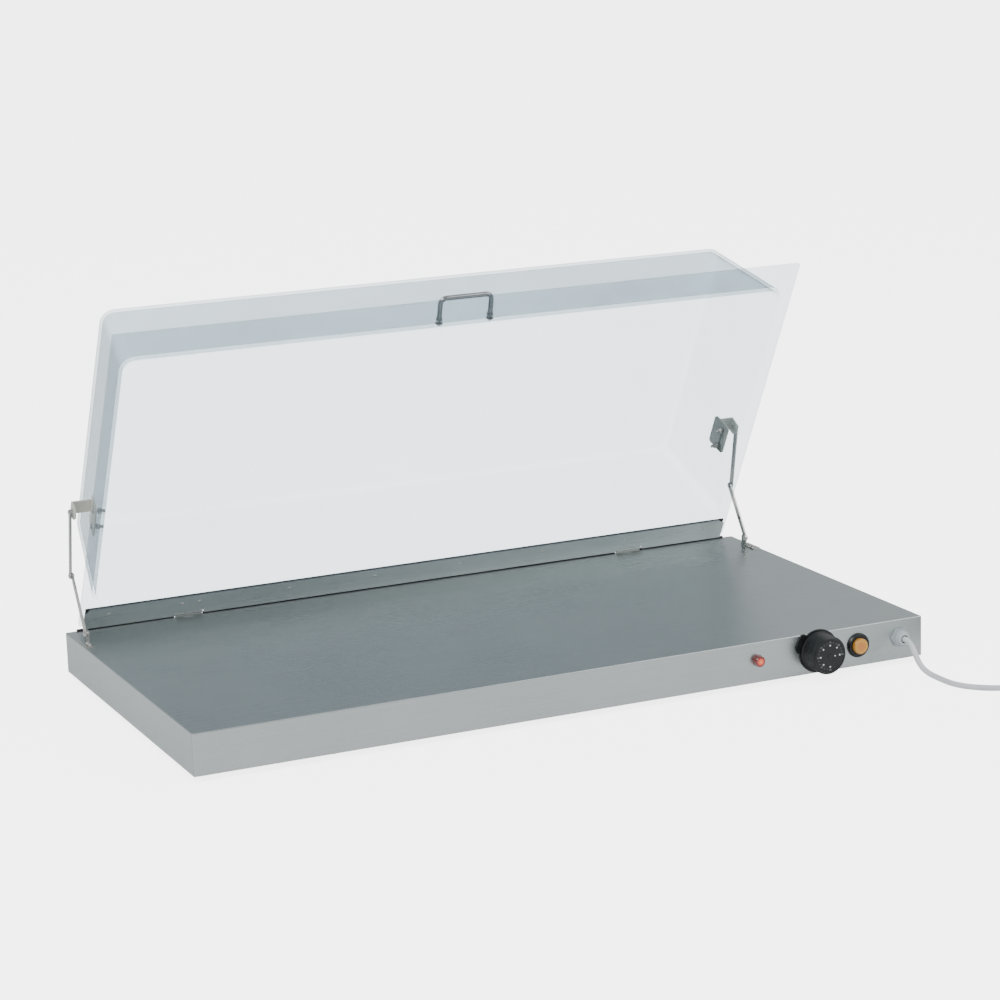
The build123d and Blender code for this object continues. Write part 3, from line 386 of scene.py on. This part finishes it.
def amber_cap():
    """Translucent amber cap: a yellow moulded rim round a deeper, mottled middle, with a faint painted glow,
    stronger in the middle, though the cap is no lamp.
    """
    look = Look("amber_cap", Coat_Weight=0.5, Coat_Roughness=0.15)
    away = look.distance_from(facing_front("switch_button_cap"))
    mottle = look.math("MULTIPLY", look.noise(350.0, detail=3), 2.5 * MM)
    away = look.math("ADD", away, mottle)
    place = look.spread(away, 0, 1, 0, 13 * MM)
    look.wire(look.ramp(
        place, (0.1, (0.62, 0.20, 0.06)), (0.45, (0.64, 0.24, 0.03)), (0.72, (0.70, 0.36, 0.05)),
        (0.88, (0.50, 0.22, 0.03)),
    ), "Base Color")
    look.wire(look.spread(mottle, 0.28, 0.4, 0.8 * MM, 1.7 * MM), "Roughness")
    # Painted glow: the cap gives off a faint amber light, stronger in the middle, though it is no lamp.
    look.wire(look.ramp(place, (0.0, (0.7, 0.22, 0.05)), (0.9, (0.4, 0.2, 0.03))), "Emission Color")
    look.shader.inputs["Emission Strength"].default_value = 0.06
    return look.material


def red_lens():
    """Red lamp lens with its bulb alight behind the middle."""
    look = Look("red_lens", Coat_Weight=1.0, Coat_Roughness=0.05)
    away = look.distance_from(facing_front("pilot_lamp_lens"))
    away = look.math("ADD", away, look.math("MULTIPLY", look.noise(500.0, detail=2), 1.6 * MM))
    place = look.spread(away, 0, 1, 0, 7.6 * MM)
    look.wire(look.ramp(
        place, (0.2, (0.72, 0.10, 0.03)), (0.6, (0.42, 0.03, 0.015)), (1.0, (0.14, 0.01, 0.01)),
    ), "Base Color")
    look.wire(look.ramp(
        place, (0.3, (1.0, 0.28, 0.09)), (0.65, (0.45, 0.03, 0.01)), (0.85, (0, 0, 0)),
    ), "Emission Color")
    look.wire(look.spread(place, 0.12, 0.25, 0.0, 1.0), "Roughness")
    look.shader.inputs["Emission Strength"].default_value = 0.7
    return look.material


def gland_mouth():
    """The gland's nut: grey moulding, lighter round the mouth and darker towards its rim, with black painted
    inside its mouth: partly the black sealing ring, partly painted shade in the gap round the cord.
    """
    look = Look("gland_mouth")
    away = look.distance_from(facing_front("gland_cap_nut"))
    away = look.math("ADD", away, look.math("MULTIPLY", look.noise(400.0, detail=2), 0.3 * MM))
    place = look.spread(away, 0, 1, 4.9 * MM, 11 * MM)
    # Black in the mouth: partly the sealing ring, partly painted shade of the gap round the cord and the
    # bore.
    look.wire(look.ramp(
        place, (0.06, (0.01, 0.01, 0.01)), (0.10, (0.62, 0.66, 0.68)), (0.9, (0.42, 0.47, 0.49)),
    ), "Base Color")
    look.wire(look.spread(place, 0.5, 0.36, 0.0, 0.3), "Roughness")
    return look.material


def insulated_wires():
    """Brown, blue and green-yellow insulation, one colour to a wire."""
    look = Look("insulated_wires")
    island = look.node("ShaderNodeNewGeometry").outputs["Random Per Island"]
    colours = look.ramp(
        island, (0.0, (0.16, 0.06, 0.03)), (0.4, (0.03, 0.1, 0.4)), (0.75, (0.45, 0.55, 0.04)),
    )
    colours.node.color_ramp.interpolation = "CONSTANT"
    look.wire(colours, "Base Color")
    look.wire(look.spread(look.noise(80.0), 0.35, 0.5), "Roughness")
    return look.material


def heater_silicone():
    """Orange-red silicone mat with the weave of its glass cloth."""
    look = Look("heater_silicone")
    weave = look.node("ShaderNodeTexWave", bands_direction="DIAGONAL")
    weave.inputs["Scale"].default_value = 400.0
    look.wire(look.where, weave.inputs["Vector"])
    look.wire(look.ramp(look.noise(25.0), (0.3, (0.42, 0.09, 0.04)), (0.7, (0.52, 0.13, 0.06))), "Base Color")
    look.wire(look.spread(look.noise(60.0), 0.55, 0.7), "Roughness")
    look.bump(weave.outputs["Fac"], 0.15, 0.1 * MM)
    return look.material


stainless = brushed_steel("stainless", (0.44, 0.48, 0.48), (0.55, 0.585, 0.585))
strip_steel = brushed_steel(
    "strip_steel", (0.42, 0.43, 0.42), (0.56, 0.57, 0.55), rough=(0.14, 0.24), line_bump=0.03,
)
bracket_cream = moulded(
    "bracket_cream", (0.62, 0.61, 0.55), (0.76, 0.75, 0.69), rough=(0.3, 0.42), grain=700.0,
)
arm_steel = polished_metal("arm_steel", (0.62, 0.61, 0.57), (0.45, 0.45, 0.43), rough=(0.16, 0.3))
chrome = polished_metal("chrome", (0.40, 0.41, 0.41), (0.28, 0.29, 0.29))
zinc = polished_metal("zinc", (0.60, 0.60, 0.57), (0.42, 0.42, 0.41), rough=(0.22, 0.42), scale=180.0)
aluminium = brushed_steel("aluminium", (0.62, 0.63, 0.64), (0.76, 0.77, 0.78), rough=(0.3, 0.42))
copper = polished_metal("copper", (0.62, 0.28, 0.15), (0.42, 0.18, 0.1), rough=(0.2, 0.4))
black_plastic = moulded("black_plastic", (0.003, 0.004, 0.005), (0.008, 0.010, 0.012), rough=(0.32, 0.45))
rubber = moulded(
    "rubber", (0.012, 0.012, 0.012), (0.03, 0.03, 0.03), rough=(0.6, 0.8), grain=900.0, depth=0.2,
)
grey_plastic = moulded("grey_plastic", (0.40, 0.44, 0.46), (0.50, 0.54, 0.56), rough=(0.32, 0.45))
white_pvc = moulded(
    "white_pvc", (0.66, 0.69, 0.71), (0.78, 0.80, 0.82), rough=(0.3, 0.42), grain=600.0, depth=0.05,
)
mark_white = moulded("mark_white", (0.6, 0.63, 0.64), (0.8, 0.82, 0.82), rough=(0.5, 0.6))
mark_dim = moulded("mark_dim", (0.16, 0.18, 0.19), (0.26, 0.28, 0.29), rough=(0.5, 0.6))
fibre = moulded("fibre", (0.62, 0.58, 0.48), (0.74, 0.71, 0.62), rough=(0.85, 0.95), grain=500.0, depth=0.6)
acrylic = clear_acrylic()

PAINT = {
    stainless: ["hinge_strip", "base_shell", "bottom_cover"],
    strip_steel: ["hinge_base_leaves", "hinge_lid_leaves"],
    bracket_cream: ["stay_lid_brackets"],
    gland_mouth(): ["gland_cap_nut"],
    arm_steel: [
        "stay_lower_arm_left", "stay_lower_arm_right", "stay_upper_arm_left", "stay_upper_arm_right",
        "stay_foot_brackets", "stay_foot_rivets", "stay_lid_rivets",
    ],
    chrome: ["lid_handle", "handle_collars", "hinge_pins"],
    zinc: [
        "underside_screws", "clamp_bars", "weld_studs", "clamp_nuts", "thermostat_screws", "bulb_clips",
        "thermostat_shaft", "switch_spring", "pilot_lamp_nut", "earth_stud", "strip_rivets",
        "hinge_base_rivets", "handle_screws", "lid_bracket_screws", "lid_bracket_nuts",
        "foot_bracket_screws", "plug_pins",
    ],
    aluminium: ["heat_spreader_plate"],
    copper: ["sensor_bulb", "capillary_tube"],
    black_plastic: [
        "thermostat_body", "knob_bezel", "thermostat_knob", "switch_bezel", "switch_locknut",
        "switch_body", "pilot_lamp_body",
    ],
    rubber: ["rubber_feet", "strip_gasket"],
    grey_plastic: ["gland_body", "gland_locknut"],
    white_pvc: ["cord_inner_end", "terminal_block", "plug_body"],
    fibre: ["insulation_board"],
    acrylic: ["lid_dome"],
    amber_cap(): ["switch_button_cap"],
    red_lens(): ["pilot_lamp_lens"],
    insulated_wires(): ["internal_wires"],
    heater_silicone(): ["heater_mat"],
}
for material, names in PAINT.items():
    for name in names:
        for slot in nodes[name].material_slots:
            slot.material = material
cord.data.materials.append(white_pvc)

# ---- Dial marks on the knob, and the pointer on its bezel ----
MARK_T = 0.15 * MM
knob_face = facing_front("thermostat_knob")
DIAL_ANGLES = [45 * i for i in range(7)]
DOT_AT = 14.0 * MM
NUMBER_AT = 18.0 * MM
DIAL_NUMBERS = ["90", "80", "70", "60", "50", "40", "30"]


def on_dial(radius, degrees):
    """A point on the knob's face."""
    turn = math.radians(degrees)
    return knob_face + Vector((math.cos(turn), 0, math.sin(turn))) * radius


def disc(bm, at, radius, thickness=MARK_T):
    """A flat round mark with a soft edge, standing on the front at a point."""
    profile = [(-thickness, radius), (thickness * 0.6, radius), (thickness, radius * 0.8), (thickness, 0)]
    lathe(bm, profile, at, FRONT, segments=20)


def bar(bm, at, along, across, length, width, thickness=MARK_T):
    """A raised bar centred on a point, with its thickness along the cross of its two directions."""
    up = along.cross(across).normalized() * thickness
    corners = []
    for lift in (-1, 1):
        for a, b in ((-1, -1), (1, -1), (1, 1), (-1, 1)):
            corners.append(bm.verts.new(at + along * length / 2 * a + across * width / 2 * b + up * lift))
    low, high = corners[:4], corners[4:]
    bm.faces.new(low)
    bm.faces.new(high)
    for i in range(4):
        bm.faces.new([low[i], low[(i + 1) % 4], high[(i + 1) % 4], high[i]])


def make_dial_marks():
    """Dots and fine ticks, moulded into the dial and filled white."""
    bm = bmesh.new()
    for degrees in DIAL_ANGLES:
        disc(bm, on_dial(DOT_AT, degrees), 1.15 * MM)
    disc(bm, on_dial(7.2 * MM, -3), 0.95 * MM)
    marks = piece("dial_marks", finish_mesh(bm, "dial_marks"), "thermostat_knob")
    marks.data.materials.append(mark_white)
    bm = bmesh.new()
    for degrees in range(0, 271, 15):
        if degrees % 45:
            turn = math.radians(degrees)
            along = Vector((math.cos(turn), 0, math.sin(turn)))
            bar(bm, on_dial(17.5 * MM, degrees), along, Vector((-along.z, 0, along.x)), 1.8 * MM, 0.4 * MM)
    ticks = piece("dial_ticks", finish_mesh(bm, "dial_ticks"), "thermostat_knob")
    ticks.data.materials.append(mark_dim)


def make_dial_numbers():
    """Small generic numbers round the dial, drawn with Blender's own plain font and kept as meshes."""
    upright = Matrix.Rotation(math.radians(90), 4, "X")
    for degrees, text in zip(DIAL_ANGLES, DIAL_NUMBERS):
        curve = bpy.data.curves.new(f"text_{text}", "FONT")
        curve.body = text
        curve.size = 3.4 * MM
        curve.extrude = MARK_T * 0.7
        curve.align_x = "CENTER"
        curve.align_y = "CENTER"
        drawn = bpy.data.objects.new(f"text_{text}", curve)
        mesh = bpy.data.meshes.new_from_object(drawn)
        mesh.transform(Matrix.Translation(on_dial(NUMBER_AT, degrees)) @ upright)
        bpy.data.objects.remove(drawn)
        number = piece(f"dial_number_{text}", mesh, "thermostat_knob")
        number.data.materials.clear()
        number.data.materials.append(mark_dim)


def make_dial_rim():
    """The recessed disc's raised ring near the edge of the dial and its small hub."""
    sunk = -0.2 * MM
    ring_out = 0.35 * MM
    ring = [(sunk, 20.9 * MM), (ring_out, 20.7 * MM), (ring_out, 20.1 * MM), (sunk, 19.9 * MM)]
    hub = [(sunk, 3.2 * MM), (0.3 * MM, 3.0 * MM), (0.45 * MM, 2.2 * MM), (0.3 * MM, 0)]
    bm = bmesh.new()
    lathe(bm, ring, knob_face, FRONT, segments=96)
    lathe(bm, hub, knob_face, FRONT, segments=40)
    rim = piece("dial_rim", finish_mesh(bm, "dial_rim"), "thermostat_knob")
    rim.data.materials.append(black_plastic)


def make_pointer():
    """The white index on the bezel, up and to the left of the knob."""
    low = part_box("knob_bezel")[0]
    turn = math.radians(131)
    along = Vector((math.cos(turn), 0, math.sin(turn)))
    at = Vector((knob_face.x, low.y, knob_face.z)) + along * 24.3 * MM
    bm = bmesh.new()
    bar(bm, at, along, Vector((-along.z, 0, along.x)), 3.6 * MM, 2.4 * MM)
    pointer = piece("dial_pointer", finish_mesh(bm, "dial_pointer"), "root")
    pointer.data.materials.append(mark_white)


# ---- Soft black pieces: a black strip on the base's rear edge that paints the shade line below the hinge strip, and the tie round the coiled cord ----
HINGE_L = 38 * MM
SHADE_STRIP_H = 2.4 * MM
SHADE_STRIP_W = 1.4 * MM
SHADE_STRIP_IN = 1.2 * MM
SHADE_STRIP_END_IN = 14 * MM
SHADE_STRIP_GAP = 1 * MM


def make_rear_painted_shade():
    """A low black strip with the rubber look on the base's rear edge, in three lengths between the hinges:
    painted shade, a dark piece standing in for the line of shade below the hinge strip.
    """
    low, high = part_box("base_shell")
    leaf_low, leaf_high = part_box("hinge_base_leaves")
    runs = [
        (low.x + SHADE_STRIP_END_IN, leaf_low.x),
        (leaf_low.x + HINGE_L, leaf_high.x - HINGE_L),
        (leaf_high.x, high.x - SHADE_STRIP_END_IN),
    ]
    bm = bmesh.new()
    for start, end in runs:
        length = end - start - 2 * SHADE_STRIP_GAP
        at = Vector(((start + end) / 2, high.y - SHADE_STRIP_IN, high.z + SHADE_STRIP_H / 2))
        bar(bm, at, Vector((1, 0, 0)), Vector((0, 1, 0)), length, SHADE_STRIP_W, SHADE_STRIP_H / 2)
    # Painted shade: this black strip stands in for the shade line under the hinge strip.
    shade_strip = piece("rear_painted_shade", finish_mesh(bm, "rear_painted_shade"), "root")
    shade_strip.data.materials.append(rubber)


def make_coil_tie():
    """A soft black strap round the coil's turns, on the side away from the plug."""
    half = CORD_D + 1.1 * MM
    height = 3 * CORD_D + 1.1 * MM
    corner = 3.5 * MM
    thick, wide = 1.0 * MM, 7 * MM
    turn = math.radians(135)
    outward = Vector((math.cos(turn), math.sin(turn), 0))
    along = Vector((-outward.y, outward.x, 0))
    middle = Vector((COIL_AT[0], front_y - COIL_AT[1], 0)) + outward * COIL_R
    corners = [(1, 1, 0), (-1, 1, 90), (-1, -1, 180), (1, -1, 270)]
    bm = bmesh.new()
    rings = []
    for inset in (0, thick):
        for side in (-1, 1):
            ring = []
            for sx, sz, start in corners:
                for step in range(7):
                    a = math.radians(start + 15 * step)
                    r = (half - corner) * sx + (corner - inset) * math.cos(a)
                    z = height / 2 + (height / 2 - corner) * sz + (corner - inset) * math.sin(a)
                    ring.append(bm.verts.new(middle + outward * r + UP * z + along * wide / 2 * side))
            rings.append(ring)
    count = len(rings[0])
    for one, other in ((0, 1), (1, 3), (3, 2), (2, 0)):
        for i in range(count):
            j = (i + 1) % count
            bm.faces.new([rings[one][i], rings[one][j], rings[other][j], rings[other][i]])
    tie = piece("coil_tie", finish_mesh(bm, "coil_tie"), "root")
    tie.data.materials.append(rubber)


make_dial_marks()
make_dial_numbers()
make_dial_rim()
make_pointer()
make_rear_painted_shade()
make_coil_tie()


# ---- Floor, lights and surroundings ----
BACKDROP_GLOW = 4.0


def make_floor():
    bpy.ops.mesh.primitive_plane_add(size=80)
    floor = bpy.context.object
    floor.name = "floor"
    look = Look("floor", Roughness=0.9)
    look.wire(look.ramp(look.noise(0.8), (0.3, (0.90, 0.90, 0.90)), (0.7, (0.92, 0.92, 0.92))), "Base Color")
    # Only camera rays see the floor glow, so it stays pale without flooding the metal.
    look.shader.inputs["Emission Color"].default_value = (1, 1, 1, 1)
    rays = look.node("ShaderNodeLightPath")
    look.wire(look.math("MULTIPLY", rays.outputs["Is Camera Ray"], BACKDROP_GLOW), "Emission Strength")
    floor.data.materials.append(look.material)


def make_world():
    """A soft studio: mid grey low down, brighter overhead."""
    world = bpy.data.worlds.new("studio")
    bpy.context.scene.world = world
    world.use_nodes = True
    tree = world.node_tree
    background = next(n for n in tree.nodes if n.type == "BACKGROUND")
    where = tree.nodes.new("ShaderNodeTexCoord")
    split = tree.nodes.new("ShaderNodeSeparateXYZ")
    ramp = tree.nodes.new("ShaderNodeValToRGB")
    stops = ramp.color_ramp.elements
    stops[0].position = 0.0
    stops[0].color = (0.62, 0.68, 0.70, 1)
    stops[1].position = 0.8
    stops[1].color = (0.95, 0.97, 1.0, 1)
    tree.links.new(where.outputs["Generated"], split.inputs["Vector"])
    tree.links.new(split.outputs["Z"], ramp.inputs["Fac"])
    tree.links.new(ramp.outputs["Color"], background.inputs["Color"])
    background.inputs["Strength"].default_value = 0.8


def area_light(name, at, target, size, power):
    data = bpy.data.lights.new(name, "AREA")
    data.size = size
    data.energy = power
    light = bpy.data.objects.new(name, data)
    light.location = at
    light.rotation_mode = "QUATERNION"
    light.rotation_quaternion = (Vector(target) - Vector(at)).to_track_quat("-Z", "Y")
    bpy.context.collection.objects.link(light)


make_floor()
make_world()
area_light("key", (-2.5, -1.5, 3.2), (0, 0, 0.2), 2.0, 90)
area_light("fill", (2.5, -2.0, 2.5), (0, 0, 0.2), 2.5, 50)
